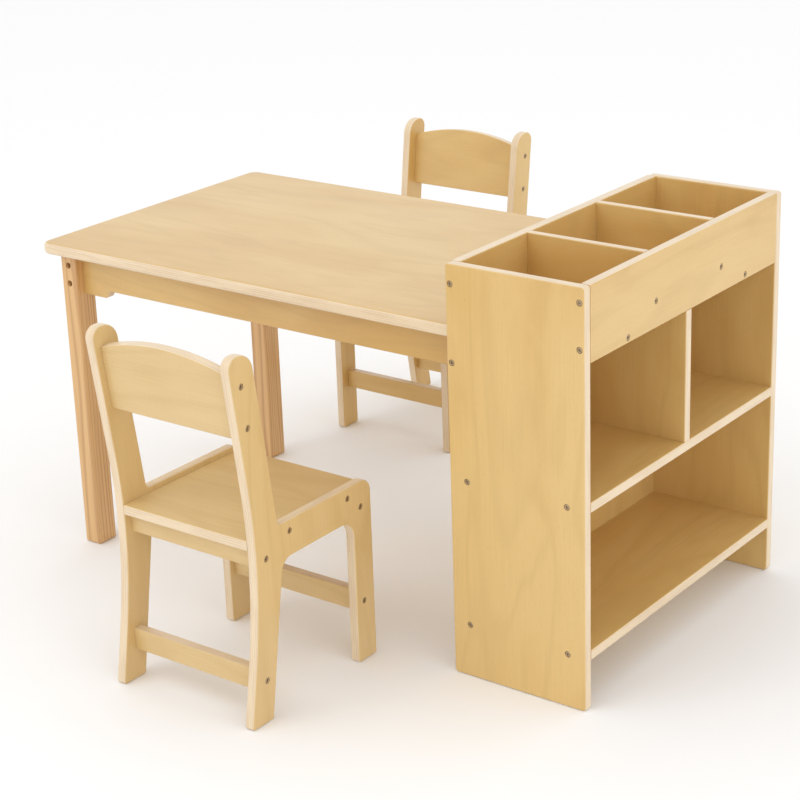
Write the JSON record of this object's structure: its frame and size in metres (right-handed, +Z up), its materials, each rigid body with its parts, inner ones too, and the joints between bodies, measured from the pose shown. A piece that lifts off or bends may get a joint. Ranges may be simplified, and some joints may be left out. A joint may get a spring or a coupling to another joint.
{
  "type": "children's craft table with storage and chairs",
  "caption": "Low plywood craft table on pine legs, one end carried by an open storage unit with a divided top tray and shelves, with matching small chairs.",
  "frame": {"origin": "on the floor, in the middle of the bounding box of the whole set at rest", "axes": "+Z up, +X along the table towards the storage unit, +Y across the table from the near chair to the far chair"},
  "size_m": [1, 1.2244, 0.6],
  "materials": {
    "birch_plywood": "clear satin lacquer over pale veneer",
    "pine": "clear satin lacquer over edge-glued pine",
    "bronzed_steel": "dark bronze plated steel",
    "zinc_plated_steel": "bright zinc plated steel"
  },
  "bodies": {
    "table": {"back_panel": "birch_plywood", "barrel_nuts": "zinc_plated_steel", "bottom_shelf": "birch_plywood", "cleat_screws": "bronzed_steel", "end_apron": "birch_plywood", "far_side_panel": "birch_plywood", "front_apron": "birch_plywood", "front_leg": "pine", "leg_bolts": "bronzed_steel", "middle_shelf": "birch_plywood", "near_side_panel": "birch_plywood", "rear_apron": "birch_plywood", "rear_leg": "pine", "shelf_divider": "birch_plywood", "storage_screws": "bronzed_steel", "table_top": "birch_plywood", "top_cleats": "pine", "tray_floor": "birch_plywood", "tray_front_board": "birch_plywood", "tray_partition_far": "birch_plywood", "tray_partition_near": "birch_plywood", "tray_rear_board": "birch_plywood"},
    "near_chair": {"near_chair_backrest": "birch_plywood", "near_chair_front_rail": "birch_plywood", "near_chair_front_stretcher": "birch_plywood", "near_chair_rear_rail": "birch_plywood", "near_chair_rear_stretcher": "birch_plywood", "near_chair_screws": "bronzed_steel", "near_chair_seat": "birch_plywood", "near_chair_side_a": "birch_plywood", "near_chair_side_b": "birch_plywood"},
    "far_chair": {"far_chair_backrest": "birch_plywood", "far_chair_front_rail": "birch_plywood", "far_chair_front_stretcher": "birch_plywood", "far_chair_rear_rail": "birch_plywood", "far_chair_rear_stretcher": "birch_plywood", "far_chair_screws": "bronzed_steel", "far_chair_seat": "birch_plywood", "far_chair_side_a": "birch_plywood", "far_chair_side_b": "birch_plywood"}
  },
  "joints": [
    {"name": "near_chair_slide", "type": "slide", "parent": "table", "child": "near_chair", "axis": [0, 1, 0], "range_m": [-0.25, 0.25]},
    {"name": "far_chair_slide", "type": "slide", "parent": "table", "child": "far_chair", "axis": [0, -1, 0], "range_m": [-0.15, 0.35]}
  ]
}
